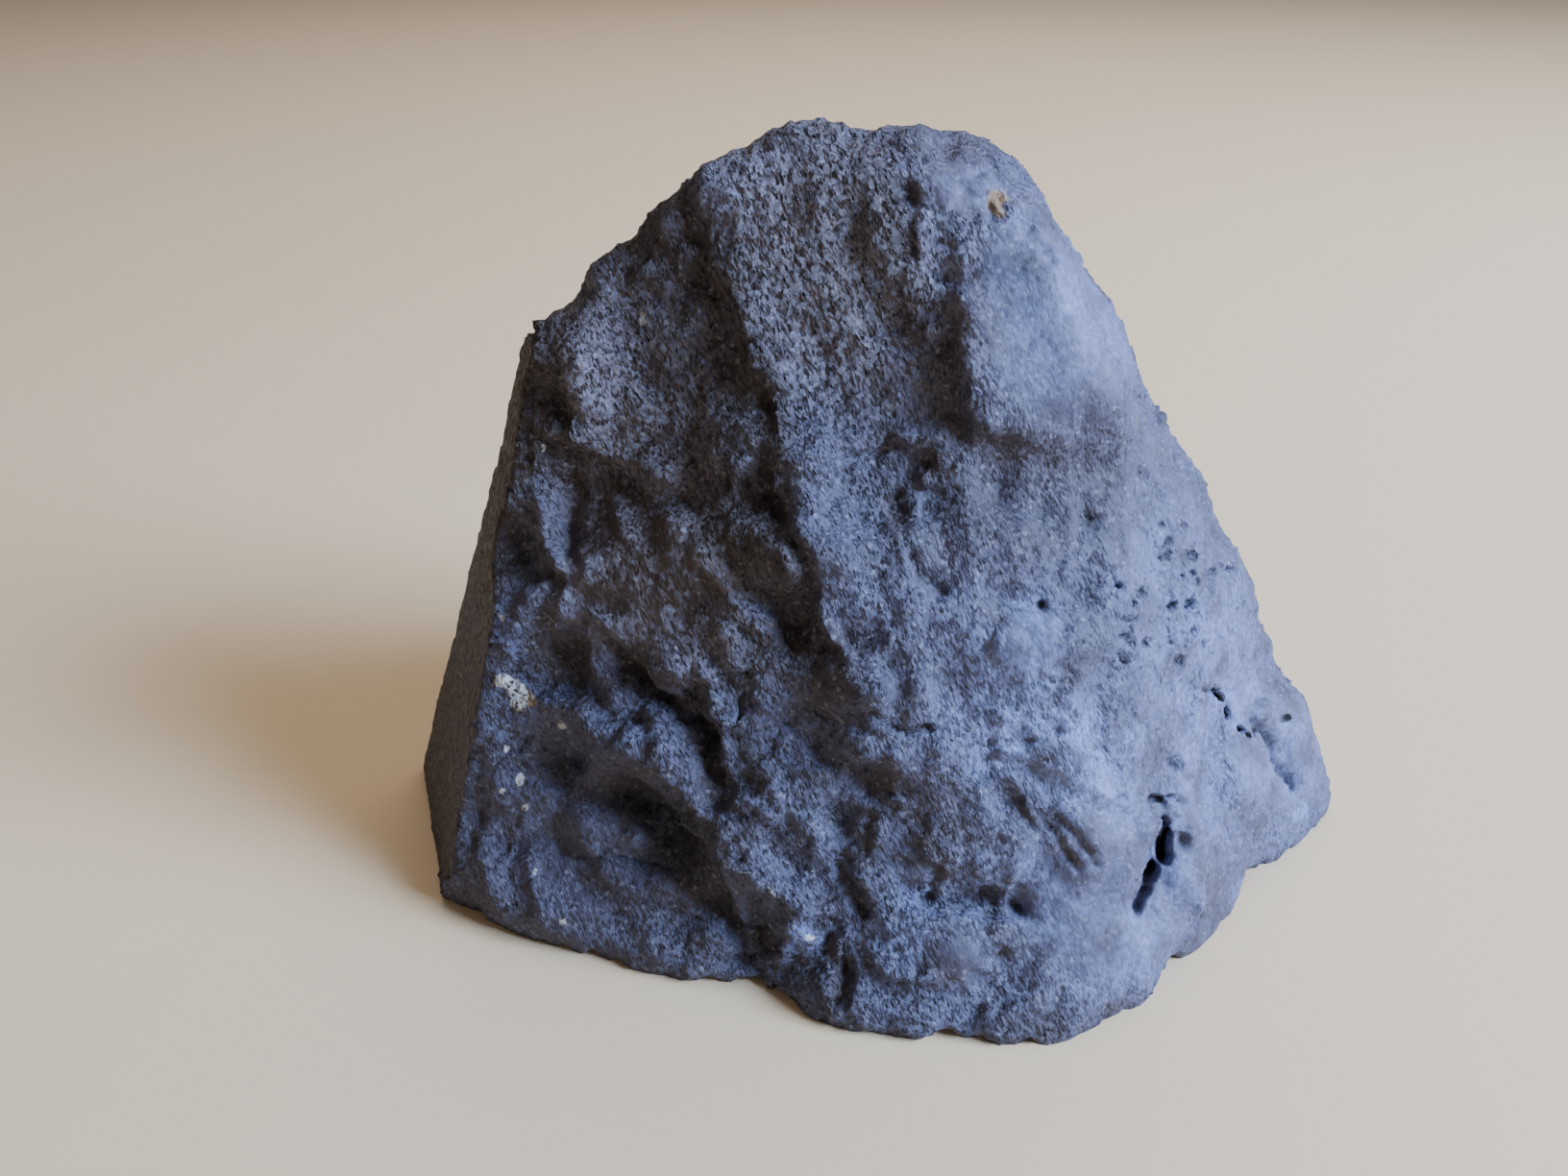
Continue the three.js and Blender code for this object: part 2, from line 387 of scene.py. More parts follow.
RIBS_AND_RIMS = [
    # The fin and the ribs between the left hollows.
    (crest, FIN, 38, 7, 1.5),
    (pit, 580, 474, 24, 1.0),
    (groove, [(602, 478), (602, 520), (588, 575)], 18, 0.9),
    (crest, [(638, 515), (650, 555), (668, 582)], 22, 8, 0.8),
    (crest, [(606, 570), (612, 598), (600, 615)], 28, 9, 0.8),
    (crest, [(580, 612), (584, 636)], 16, 8, 0.5),
    (crest, [(732, 582), (752, 612), (775, 650)], 26, 14, 1.3),
    (pit, 720, 618, 28, 1.0),
    (crest, [(750, 655), (756, 700), (765, 740)], 45, 10, 0.7),
    (crest, [(612, 652), (622, 690), (640, 728)], 32, 8, 1.2),
    (crest, [(690, 608), (692, 648)], 14, 8, 0.6),
    (crest, [(750, 740), (757, 825)], 45, 10, 0.5),
    (groove, [(768, 750), (772, 830)], 20, -1.2),
    # The rims of the hollows in the left middle.
    (crest, LEFT_RIM, 16, 20, 0.4),
    (crest, MIDDLE_RIM, 50, 6, 1.5),
    (step, MIDDLE_RIM, 8, 30, 0.5, -1),
    (step, BAND_TOP, 8, 34, 0.6),
    (crest, BAND_TOP, 12, 60, 0.6),
    (groove, [(622, 738), (655, 754), (692, 767)], 12, 0.8),
    # The pocket and the foot at the left.
    (step, POCKET_RIM, 10, 90, 0.9, -1),
    (groove, [(724, 712), (735, 770), (740, 835)], 16, 0.8),
    (pit, 588, 795, 32, 1.2),
    (pit, 777, 765, 34, -0.6),
    (pit, 780, 824, 26, 0.7),
    (step, FOOT_TOP, 12, 60, 0.6),
    (crest, [(490, 740), (488, 830)], 16, 16, 0.6),
    (crest, [(500, 860), (515, 945)], 26, 14, 0.9),
    (groove, [(495, 838), (495, 872)], 12, 0.6),
    (crest, [(550, 890), (562, 950)], 24, 12, 0.7),
]

# Height, half width, and then a path or a single place.
SWELLS = [
    (0.5, 42, (770, 190), (800, 255), (850, 310), (900, 370), (935, 405)),
    (0.6, 34, (975, 345), (978, 385)),
    (0.5, 30, (850, 205), (862, 300)),
    (0.6, 36, (712, 560), (775, 560), (815, 600)),
    (0.6, 26, (793, 655), (800, 680)),
    (0.7, 30, (850, 715), (872, 722)),
    (-0.9, 60, (1045, 290), (1070, 330)),
    (-0.2, 60, (1090, 385)),
    (-0.6, 34, (968, 190), (975, 250), (972, 310)),
    (-0.4, 22, (888, 180), (895, 240)),
    (-0.6, 24, (903, 388), (912, 415)),
    (-0.7, 22, (882, 655), (888, 675)),
    (0.4, 24, (728, 190), (706, 217)),
    (0.3, 45, (680, 240)),
    (0.6, 26, (720, 264)),
    (0.3, 22, (723, 320)),
    (0.5, 22, (778, 270)),
    (0.5, 16, (1000, 350), (1008, 385)),
    (0.8, 38, (862, 475), (905, 484), (942, 510)),
    (0.5, 22, (966, 503)),
    (0.4, 26, (579, 340), (609, 380), (649, 370)),
    (1.0, 32, (668, 428)),
    (0.3, 30, (640, 380)),
    (0.8, 28, (592, 480), (642, 484)),
    (0.4, 30, (612, 520), (632, 560)),
    (0.7, 38, (700, 550), (712, 600)),
    (0.4, 28, (773, 557)),
    (0.6, 26, (725, 612)),
    (0.9, 30, (868, 580), (890, 610), (906, 637), (916, 670)),
    (0.9, 36, (932, 622), (940, 660), (955, 720)),
    (0.4, 26, (962, 622), (1010, 660)),
    (0.5, 34, (955, 720), (972, 765)),
    (1.2, 24, (912, 717)),
    (0.3, 22, (673, 590)),
    (0.4, 24, (569, 677)),
    (0.5, 26, (632, 692), (665, 733), (700, 752), (725, 773)),
    (0.8, 26, (500, 728), (516, 805)),
    (0.9, 28, (522, 822)),
    (1.0, 38, (610, 858), (645, 915), (690, 958), (762, 978)),
    (1.3, 60, (635, 870), (680, 925)),
    (1.4, 44, (660, 845), (695, 880), (715, 920)),
    (0.9, 34, (695, 235)),
    (0.5, 46, (926, 240), (932, 300)),
    (0.6, 32, (950, 240), (956, 290)),
    (-0.6, 34, (1012, 258), (1020, 290)),
    (0.4, 26, (725, 325)),
    (-0.6, 30, (812, 415), (825, 460)),
    (0.6, 34, (785, 540), (822, 580)),
    (0.4, 26, (1285, 800), (1300, 840)),
    (-0.4, 24, (1262, 780), (1272, 830)),
    (-0.4, 22, (1160, 900), (1150, 940)),
    (-0.5, 26, (896, 668)),
    (-0.5, 28, (642, 638)),
    (0.5, 26, (650, 722), (680, 738)),
    (0.6, 32, (665, 865)),
    (-0.5, 28, (632, 752)),
    (-0.6, 26, (1120, 890)),
    (0.4, 50, (1150, 845), (1230, 860)),
    (0.4, 24, (712, 225)),
    (0.5, 30, (905, 728)),
    (-0.5, 46, (1045, 205), (1070, 260)),
    (0.7, 28, (662, 865)),
    (-0.6, 24, (678, 688)),
    (-0.5, 26, (705, 820), (725, 865)),
    (-0.5, 26, (1072, 905), (1068, 950)),
    (0.5, 26, (640, 735), (690, 765)),
    (-0.6, 26, (1002, 285)),
    (0.7, 26, (970, 495)),
    (0.9, 28, (880, 695), (902, 728)),
    (0.4, 40, (705, 440)),
    (-0.3, 30, (880, 365)),
    (0.7, 26, (798, 548), (826, 590)),
    (-0.5, 28, (1058, 955)),
    (-0.5, 30, (575, 600), (618, 640)),
    (-0.5, 26, (762, 700), (780, 780)),
    (0.5, 28, (655, 385), (672, 430), (652, 470)),
    (0.5, 36, (705, 545), (770, 552), (815, 590)),
    (0.5, 28, (795, 645), (832, 685), (872, 708)),
    (0.4, 28, (945, 630)),
    (0.4, 26, (955, 750)),
    (-0.4, 26, (970, 165)),
    (-0.5, 24, (988, 290)),
    (-0.3, 70, (1060, 370)),
    (-0.8, 34, (790, 415)),
    (-0.5, 28, (552, 400), (600, 430)),
    (-0.4, 30, (1040, 520)),
    (-0.4, 40, (1130, 612)),
    (-0.6, 24, (885, 670)),
    (-0.8, 40, (1090, 900), (1075, 940)),
    (-0.5, 26, (885, 900)),
    (-0.4, 26, (995, 930)),
    (0.5, 26, (613, 945)),
    (0.8, 24, (718, 722), (738, 750)),
    (1.0, 18, (815, 992)),
    (1.3, 18, (878, 980), (878, 1000)),
    (1.2, 28, (925, 1010), (962, 1012)),
    (1.4, 30, (1056, 812), (1074, 840)),
    (0.4, 28, (1085, 880), (1120, 940)),
    (0.8, 26, (846, 745), (879, 773), (900, 776)),
    (0.5, 22, (851, 830)),
    (0.4, 22, (801, 808)),
    (0.5, 28, (1040, 740)),
    (0.8, 16, (962, 865), (980, 905)),
    (0.9, 30, (1075, 1040), (1088, 1012)),
    (1.0, 22, (1195, 855), (1255, 868)),
    (0.6, 22, (1230, 922)),
    (-0.9, 22, (821, 160)),
    (-1.1, 34, (985, 150), (1014, 207)),
    (-0.5, 20, (676, 303)),
    (-0.6, 34, (985, 440), (1030, 500)),
    (-1.0, 34, (1043, 470), (1040, 517), (1085, 535)),
    (-0.9, 32, (790, 430), (800, 480), (818, 525)),
    (-0.3, 30, (758, 425)),
    (-0.9, 30, (742, 499)),
    (-1.0, 26, (553, 397), (595, 438)),
    (-0.4, 20, (553, 497)),
    (-1.2, 24, (557, 636), (568, 602)),
    (-0.8, 24, (600, 622), (636, 632)),
    (-1.3, 26, (763, 750), (769, 816)),
    (-0.8, 26, (632, 768)),
    (-0.9, 22, (530, 700)),
    (-0.8, 24, (748, 690), (763, 740)),
    (-0.9, 20, (676, 690)),
    (-0.3, 30, (724, 720)),
    (-0.7, 20, (922, 774)),
    (-0.4, 26, (704, 825), (730, 862), (745, 900)),
    (-1.0, 34, (808, 870), (832, 900)),
    (-1.2, 28, (874, 850), (872, 895)),
    (-0.4, 30, (840, 905), (842, 950)),
    (-1.5, 26, (1003, 950), (1062, 952)),
    (-0.8, 26, (942, 932), (965, 938)),
    (-0.7, 28, (1036, 878), (1040, 920)),
    (-0.5, 24, (1018, 1050)),
    (-1.2, 50, (1060, 628), (1122, 618)),
    (-1.1, 42, (1158, 703), (1142, 785)),
    (-0.3, 28, (1173, 950)),
    (-0.3, 28, (1276, 920)),
]

# Rounds, share, and then the region: amount, across, down, half width, how long and how turned.
EVENED_FIRST = [
    (90, 1, (1.6, 660, 590, 105, 1.3, 50)),
    (60, 1, (2, 1085, 330, 110, 1.4, 62)),
    (50, 1, (2, 870, 290, 110, 1.6, 65)),
    (70, 1, (1.6, 625, 890, 110, 1.3, 20)),
]
EVENED_LAST = [
    (10, 0.7, (1.5, 700, 600, 130, 1.3, 50)),
    (12, 0.7, (1.5, 860, 270, 130, 1.6, 65)),
    (40, 1, (2, 1090, 330, 90, 1.4, 62)),
]

LOST_TO_BLENDING = 0.35  # millimetres
STREAKED = [(1, 740, 690, 190, 1.4, 50), (1, 880, 880, 200, 1.3)]
STREAK_WIDTH = 55  # pixels
STREAK_LENGTH = 170
STREAK_HEIGHT = 0.40  # millimetres
STREAK_TOP = 0.6
STREAK_FALL = 2.2


def streak(across, down):
    """How high a long rib or furrow that runs down to the left stands at a place in the frame."""
    spot = Vector(((across - down) / STREAK_WIDTH, (across + down) / STREAK_LENGTH, 3))
    return STREAK_TOP - abs(noise.noise(spot)) * STREAK_FALL


surface.press(np.full(len(surface.points), LOST_TO_BLENDING), everywhere=True)
for rounds, share, region in EVENED_FIRST:
    surface.relax(rounds, share * cover(region))
surface.press(strokes(BROAD_FORMS))
streaks = np.array([streak(across, down) for across, down in surface.places])
streaked = np.clip(patches(STREAKED), 0, 1)
surface.press(strokes(RIBS_AND_RIMS, STREAK_HEIGHT * streaks * streaked))
surface.press(sum(swell(*row) for row in SWELLS))
surface.relax(3)
for rounds, share, region in EVENED_LAST:
    surface.relax(rounds, share * cover(region))


# --- Stone: its vesicles, pits and cracks ----------------------------------------------------------
# Small round holes that gas left in the rock, most of them in one cluster at the right, and the pits,
# cracks and chips beside them.
VESICLE_SEED = 11
VESICLE_DEPTH = 0.16  # millimetres for each pixel of half width
VESICLE_WIDENING = 1.35
VESICLE_LENGTH = 1.2
WANDER_HERE = (4, 3)  # pixels, by which strokes wander round the vesicles
# Across, down and half width, in pixels.
VESICLES = [
    (1214, 562, 6), (1213, 576, 5), (1238, 576, 5), (1238, 597, 4), (1225, 600, 3), (1245, 605, 4),
    (1186, 615, 6), (1178, 625, 5), (1215, 628, 6), (1237, 625, 6), (1168, 640, 4), (1178, 642, 5),
    (1165, 660, 6), (1190, 668, 6), (1243, 655, 5), (1283, 655, 4), (1220, 685, 5), (1262, 590, 5),
    (1160, 605, 6), (1205, 540, 4), (1230, 545, 4), (1275, 588, 3), (1212, 615, 4), (1170, 668, 5),
    (1215, 666, 4), (1247, 638, 3), (1203, 575, 3), (1250, 672, 3),
]
vesicles = [(across + WANDER_HERE[0], down + WANDER_HERE[1], half) for across, down, half in VESICLES]

PITS_AND_CRACKS = [
    # The upper half.
    (pit, 935, 530, 22, 1.1, 1.3, 90),
    (pit, 968, 488, 13, 0.5, 1.4, 60),
    (pit, 925, 460, 12, 0.5),
    (pit, 1130, 540, 14, 0.7, 1.6, 40),
    (pit, 1082, 630, 9, 0.6, 1.5, 80),
    (pit, 1127, 517, 9, 0.5),
    (groove, [(940, 560), (960, 600), (985, 615)], 11, 0.6),
    (groove, [(1190, 490), (1210, 512)], 7, 0.6),
    (pit, 1033, 213, 18, 1.0, 1.3, 60),
    (pit, 1037, 214, 10, -0.5, 1.4, 70),
    (pit, 1020, 183, 12, 0.7),
    (groove, [(1072, 238), (1100, 270)], 9, 0.6),
    (pit, 1122, 270, 9, -0.6),
    (groove, [(1153, 352), (1160, 372)], 6, 0.5),
    (pit, 1190, 415, 9, 0.7),
    (pit, 1210, 435, 9, -0.6),
    # The cracks and pits of the right end.
    (pit, 1260, 720, 6, 1.2, 1.8, 45),
    (pit, 1268, 727, 5, 1.5, 1.5, 20),
    (pit, 1276, 742, 6, 1.6, 2.0, 75),
    (pit, 1292, 757, 5, 1.3, 1.8, 30),
    (pit, 1303, 765, 5, 1.1, 1.8, 40),
    (pit, 1340, 750, 8, 0.6),
    (pit, 1098, 763, 9, 0.6),
    (pit, 1070, 770, 9, 0.6),
    (pit, 1030, 770, 9, 0.6),
    (pit, 1203, 832, 9, 1.4, 1.4),
    (groove, [(1215, 828), (1235, 834)], 6, 0.9),
    (pit, 1162, 830, 12, 0.9),
    (pit, 1222, 792, 11, 0.9),
    (pit, 1236, 806, 8, 0.6),
    # The slot, the chip beside it and the crack of the right end.
    (groove, [(1213, 856), (1212, 872)], 8, 2.3),
    (groove, [(1208, 880), (1213, 893)], 11, 2.5),
    (groove, [(1202, 902), (1196, 915)], 9, 1.6),
    (groove, [(1190, 925), (1183, 942)], 10, 1.5),
    (pit, 1231, 875, 12, 0.9, 1.6, 90),
    (crest, [(1243, 906), (1246, 945)], 14, 14, 0.9),
    (groove, [(1308, 745), (1328, 778), (1345, 815)], 13, 0.8),
    (pit, 1317, 733, 11, 0.9),
    (groove, [(1312, 752), (1330, 785), (1344, 818)], 6, 0.8),
    # The lower half.
    (groove, [(905, 746), (945, 762), (972, 760)], 6, 0.8),
    (pit, 1027, 942, 22, 0.9, 1.3, 20),
    (groove, [(960, 860), (980, 900), (965, 930)], 12, 0.5),
    (pit, 905, 815, 26, 0.8, 1.2, 30),
    (groove, [(903, 850), (903, 890)], 11, 0.5),
    (groove, [(870, 905), (895, 950)], 12, 0.7),
    (groove, [(878, 988), (872, 1040)], 17, 1.0),
    (pit, 798, 978, 22, 0.9),
    (groove, [(1015, 1020), (1042, 1045)], 16, 0.6),
    (pit, 815, 950, 14, 0.5),
    (pit, 1040, 995, 14, 0.6),
    (pit, 955, 1010, 14, 0.5),
    (pit, 532, 718, 20, -0.4, 1.5, 40),
    (pit, 845, 975, 18, -0.8),
    (pit, 1000, 1000, 34, -0.5, 1.3, 60),
    (crest, [(950, 955), (1000, 960), (1060, 962)], 26, 12, 0.6),
    (groove, [(980, 940), (1060, 928)], 14, 0.4),
    (crest, [(1045, 780), (1100, 800), (1150, 830)], 50, 16, 0.9),
    (groove, [(1092, 838), (1140, 905)], 9, 0.5),
    (groove, [(1078, 838), (1120, 905)], 8, 0.5),
    (crest, [(755, 900), (785, 912), (815, 930)], 14, 20, 0.5),
    (crest, [(825, 770), (850, 800)], 18, 26, 0.6),
]
# The nicks and knobs of the outline.
OUTLINE_NICKS = [
    (pit, 550, 368, 50, -1.3, 1.4, 100),
    (pit, 592, 305, 34, 1.0),
    (pit, 820, 142, 50, -0.5),
    (pit, 900, 135, 60, 0.5),
    (pit, 1268, 545, 55, 0.8),
    (pit, 1335, 695, 45, 1.3),
    (pit, 1300, 652, 30, 0.6),
    (pit, 515, 465, 70, 0.7, 1.5, 90),
]

random.seed(VESICLE_SEED)
for across, down, half in vesicles:
    turn = random.uniform(0, 180)
    surface.press(pit(across, down, half * VESICLE_WIDENING, VESICLE_DEPTH * half, VESICLE_LENGTH, turn))
surface.press(strokes(PITS_AND_CRACKS))
surface.press(strokes(OUTLINE_NICKS), everywhere=True)


# --- Stone: the broken skin ------------------------------------------------------------------------
# The stone is grainy all over where it broke, coarsely beside the flutes and finely in them, and
# nearly smooth on a few worn patches. The two sawn faces are flat.
SMOOTHEST = [
    (2.4, 1090, 330, 110, 1.4, 62),
    (1, 1075, 670, 45),
    (1, 1000, 1000, 45),
    (1, 1330, 780, 70, 1.3, 60),
    (1.4, 1000, 195, 50, 1.3, 0),
]
SMOOTHER = [(1, 600, 900, 190, 1.3, 20), (1.5, 650, 600, 150)]
FLUTED = [(1, 860, 270, 190, 1.4, 60), (1, 650, 400, 160, 1.4, 70), (1, 690, 580, 170, 1.3, 50)]
LEAST_BROKEN = [(1, 870, 270, 160, 1.5, 65), (1, 650, 400, 130, 1.4, 70), (1, 700, 600, 140)]
MOST_BROKEN = [(0.6, 1160, 640, 170, 1.4, 70)]
RIGHT_HALF = [(1, 1180, 700, 420)]
LESS_GRAINY = [(0.2, 1090, 520, 150, 1.5)]
FOOT_AT_THE_RIGHT = [(0.5, 1190, 925, 190), (0.3, 1110, 980, 140)]
SMOOTH_CORNER = [(2, 538, 388, 26)]

grain = 1 - 0.5 * patches(RIGHT_HALF) ** 0.5 - patches(LESS_GRAINY)
grain -= 0.9 * np.clip(patches(SMOOTHEST), 0, 1)
grain -= 0.45 * np.clip(patches(SMOOTHER), 0, 1)
grain -= patches(FOOT_AT_THE_RIGHT)
grain = 1 - (1 - np.clip(grain, 0.2, 1)) * surface.seen
flutes = np.clip(patches(FLUTED), 0, 0.8) * surface.seen
broken = grain - 0.8 * np.clip(patches(LEAST_BROKEN), 0, 1)
broken += patches(MOST_BROKEN)
broken = np.clip(broken, 0.05, 1.2)

# How wide and how high each layer of the skin is, in millimetres.
BILLOW_SIZE, BILLOW_HEIGHT = 6.0, 0.25
RIDGE_SIZE, RIDGE_HEIGHT = 3.4, 0.08
CHIP_SIZE, CHIP_HEIGHT = 3.2, 0.24
SMALL_CHIP_SIZE, SMALL_CHIP_HEIGHT = 1.1, 0.42
LUMP_SIZE, LUMP_HEIGHT = 0.7, 0.10


def chipped(point, size):
    """The height of small flat breaks that lean at random, each about so many millimetres wide."""
    spot = point / size + noise.noise_vector(point / (0.7 * size)) * 0.3
    centre = noise.voronoi(spot)[1][0]
    lean = noise.cell_vector(centre * 41) - Vector((0.5, 0.5, 0.5))
    return lean.dot(spot - centre) * size


skin = []
for point in surface.points / MM:
    point = Vector(point)
    billow = noise.fractal(point / BILLOW_SIZE, 0.9, 2.1, 2)
    ridge = noise.ridged_multi_fractal(point / RIDGE_SIZE, 0.8, 2.1, 3, 1.0, 2.0) - 1.2
    chip = chipped(point, CHIP_SIZE)
    small_chip = chipped(point, SMALL_CHIP_SIZE)
    lump = noise.noise(point / LUMP_SIZE)
    skin.append((billow, ridge, chip, small_chip, lump))
billows, ridges, chips, small_chips, lumps = np.array(skin).T
coarse_skin = BILLOW_HEIGHT * billows + RIDGE_HEIGHT * ridges + CHIP_HEIGHT * chips
fine_skin = SMALL_CHIP_HEIGHT * small_chips * (1 - 0.4 * flutes) + LUMP_HEIGHT * lumps
surface.press(coarse_skin * (0.15 + 0.85 * broken) + fine_skin * grain, everywhere=True)
surface.relax(4, np.clip(patches(SMOOTH_CORNER), 0, 1))

# The wall meets the floor upright: each point of the foot's edge goes under its neighbours above.
ends = np.concatenate((surface.ends, surface.ends[:, ::-1]))
ends = ends[surface.standing[ends[:, 0]] & ~surface.standing[ends[:, 1]]]
above = np.bincount(ends[:, 0], minlength=len(surface.points))
for axis in (0, 1):
    total = np.bincount(ends[:, 0], surface.points[ends[:, 1], axis], len(surface.points))
    surface.points[above > 0, axis] = total[above > 0] / above[above > 0]
surface.look()

SAWN_FACING = 0.8
SAWN_DEPTH = 0.9 * MM
SAWN_FLATNESS = 0.92
sawn = surface.normals @ np.array(SAWN_NORMAL) > SAWN_FACING
above_cut = (surface.points - np.array(SAWN_POINT)) @ np.array(SAWN_NORMAL)
sawn &= above_cut > -SAWN_DEPTH
surface.points[sawn] -= np.outer(above_cut[sawn], np.array(SAWN_NORMAL)) * SAWN_FLATNESS
surface.look()


# --- Stone: where its colours go -------------------------------------------------------------------
# Shade is painted into the hollows, pits, cracks and shaded walls, partly as the stone's own brown
# and soot; rubbed places are paler, their blue partly a painted sheen; and a few grains are quartz.
# Each of these is kept as a number at every point of the mesh, for the finish to read.
CALM_ROUNDS = 12
calm = surface.mean(surface.points, CALM_ROUNDS)
hollow = ((calm - surface.points) * surface.normals).sum(axis=1) / MM

# Paler worn places; their pale blue is partly a painted sheen of the cool light on lit faces.
EVENLY_WORN_AND_SHEEN = 0.12
# Amount, across, down and half width in pixels, and then how long and how many degrees turned.
WORN_AND_SHEEN = [
    (0.5, 1110, 320, 150, 1.4, 60),
    (0.4, 1250, 620, 150, 1.8, 60),
    (1.4, 1068, 672, 70),
    (0.5, 1110, 762, 20, 5, 50),
    (0.5, 1165, 772, 16, 5, 50),
    (0.5, 1072, 752, 14, 4, 50),
    (-0.35, 1110, 500, 110, 1.6),
    (1, 1100, 785, 110, 1.5, 25),
    (0.45, 1280, 800, 230),
    (0.5, 1110, 980, 170, 1.6),
    (1, 838, 975, 24, 1.4, 60),
    (1, 1355, 845, 16),
    (0.5, 1246, 922, 22, 1.6, 90),
    (0.4, 1040, 640, 100),
    (0.4, 960, 970, 70),
    (0.3, 980, 240, 70, 1.6, 60),
]
# Pits painted black: painted shade in their depths, partly soot.
SOOTED_AND_SHADED_PITS = [
    (0.5, 1222, 792, 12),
    (0.5, 1317, 733, 11),
    (1, 1203, 832, 13),
    (0.6, 935, 530, 22, 1.4, 90),
    (0.6, 965, 492, 18),
    (0.6, 1130, 540, 18),
    (0.6, 1082, 630, 14),
    (1, 1340, 750, 12),
]
SOOTED_AND_SHADED_PITS += [(0.6, across, down, 1.5 * half) for across, down, half in vesicles]
QUARTZ_SPOTS = [
    (1, 525, 712, 17, 1.5, 20),
    (1, 540, 730, 17, 1.4, 80),
    (1, 585, 757, 9),
    (1, 525, 780, 9),
    (1, 540, 812, 11),
    (1, 522, 822, 8),
    (1, 545, 840, 8),
    (1, 560, 910, 8),
    (1, 585, 960, 8),
    (1, 568, 467, 7),
    (1, 520, 642, 7),
    (1, 668, 330, 7, 2.2, 80),
    (1, 842, 975, 9, 1.6, 30),
]
TAN_SPOTS = [(1, 550, 728, 12, 1.6, 50), (1, 1036, 212, 22, 1.3, 70)]

# Cracks and the slot painted black: painted shade in their depths, partly soot.
# Amount, half width in pixels, and then a path or a single place.
SOOTED_AND_SHADED_CRACKS = [
    (1.0, 14, (1213, 850), (1212, 880), (1197, 905)),
    (0.45, 14, (1190, 920), (1182, 945)),
    (1.0, 9, (1261, 720), (1283, 750)),
    (1.0, 8, (1291, 756), (1306, 766)),
    (0.5, 8, (1312, 752), (1330, 785), (1344, 818)),
]
QUARTZ_VEINS = [(0.6, 7, (757, 901), (785, 911), (815, 934))]
# Brown painted where the stone lies in shade, on shaded walls and hollow floors: painted shade, partly the
# stone's own brown.
BROWNED_AND_SHADED = [
    (0.9, 50, (746, 250), (762, 330), (786, 420)),
    (1.0, 62, (785, 420), (795, 500), (805, 580), (825, 645), (865, 705)),
    (0.25, 70, (700, 360), (725, 440), (745, 520)),
    (1.3, 40, (610, 502), (690, 540), (765, 560)),
    (1.2, 34, (590, 605), (650, 618), (715, 622)),
    (0.9, 18, (648, 678), (690, 715), (738, 742), (740, 825)),
    (1.0, 34, (553, 370), (562, 440), (530, 520), (520, 600)),
    (1.3, 44, (558, 350), (566, 400), (562, 450)),
    (0.9, 44, (690, 225), (655, 275)),
    (1.0, 25, (932, 518), (935, 545)),
    (1.0, 20, (972, 478), (965, 495)),
    (0.9, 50, (700, 215), (690, 260), (720, 300)),
    (0.3, 40, (612, 850), (640, 880)),
    (0.35, 90, (500, 900), (580, 930), (680, 950), (740, 970)),
    (0.8, 60, (620, 570), (690, 600), (740, 620)),
    (0.5, 60, (640, 555), (760, 560)),
    (0.35, 110, (680, 620)),
    (0.9, 34, (540, 470), (535, 500)),
    (0.6, 24, (562, 622), (572, 650)),
    (1.0, 30, (572, 455), (592, 478)),
    (0.7, 34, (775, 655), (800, 700)),
    (1.2, 34, (565, 665), (580, 690)),
    (1.0, 12, (604, 670), (612, 730)),
    (0.4, 50, (640, 815), (690, 850), (728, 920)),
    (1.0, 28, (918, 812)),
    (0.7, 36, (976, 345), (984, 385), (992, 438)),
    (1.1, 28, (930, 195), (928, 245)),
    (0.4, 40, (1040, 470), (1100, 490), (1150, 500)),
    (1.0, 24, (798, 978)),
    (1.0, 18, (872, 985), (868, 1040)),
    (1.0, 16, (1200, 905), (1183, 942)),
    (1.0, 14, (955, 850), (982, 910)),
    (0.6, 36, (1085, 845), (1125, 905)),
    (0.4, 34, (1130, 940), (1150, 985)),
    (0.8, 20, (905, 850), (902, 890)),
]
# Lit chips, left without the painted shade.
LIT_UNSHADED = [
    (1.3, 20, (562, 503), (580, 550), (577, 588)),
    (1.3, 15, (650, 525), (657, 560)),
    (1.3, 16, (640, 577), (602, 602), (587, 638)),
    (1.3, 15, (733, 584), (758, 610), (785, 652)),
    (1.3, 20, (620, 660), (645, 725)),
    (1.5, 30, (682, 650), (715, 682), (748, 712)),
    (1.0, 10, (735, 440), (765, 465), (790, 500)),
    (1.2, 22, (648, 468), (690, 500), (712, 548)),
]


def paint(name, values):
    """Keeps a number at every point of the stone."""
    layer = stone.data.attributes.new(name, "FLOAT", "POINT")
    layer.data.foreach_set("value", values.astype(np.float32))


def marks(table):
    """How much each point belongs to marks along paths or at places, from 0 to 1."""
    return np.clip(sum(swell(*row) for row in table), 0, 1)


soot_and_shade = np.clip(sum(swell(*row) for row in SOOTED_AND_SHADED_CRACKS) + patches(SOOTED_AND_SHADED_PITS), 0, 1)
quartz = np.clip(patches(QUARTZ_SPOTS) + sum(swell(*row) for row in QUARTZ_VEINS), 0, 1)
browned_and_shaded = np.clip(marks(BROWNED_AND_SHADED) - marks(LIT_UNSHADED), 0, 1)
paint("hollow", hollow)
paint("worn_and_sheen", np.clip(EVENLY_WORN_AND_SHEEN + patches(WORN_AND_SHEEN), 0, 1))
paint("soot_and_shade", soot_and_shade * surface.seen)
paint("grain", grain)
paint("fluted", flutes)
# The brown mark is painted shade, partly the stone's own brown; the sawn side, turned from the light, gets
# painted shade too.
paint("brown_and_shade", browned_and_shaded * surface.seen + 0.7 * sawn)
paint("quartz", quartz * surface.seen)
paint("tan", cover(*TAN_SPOTS))


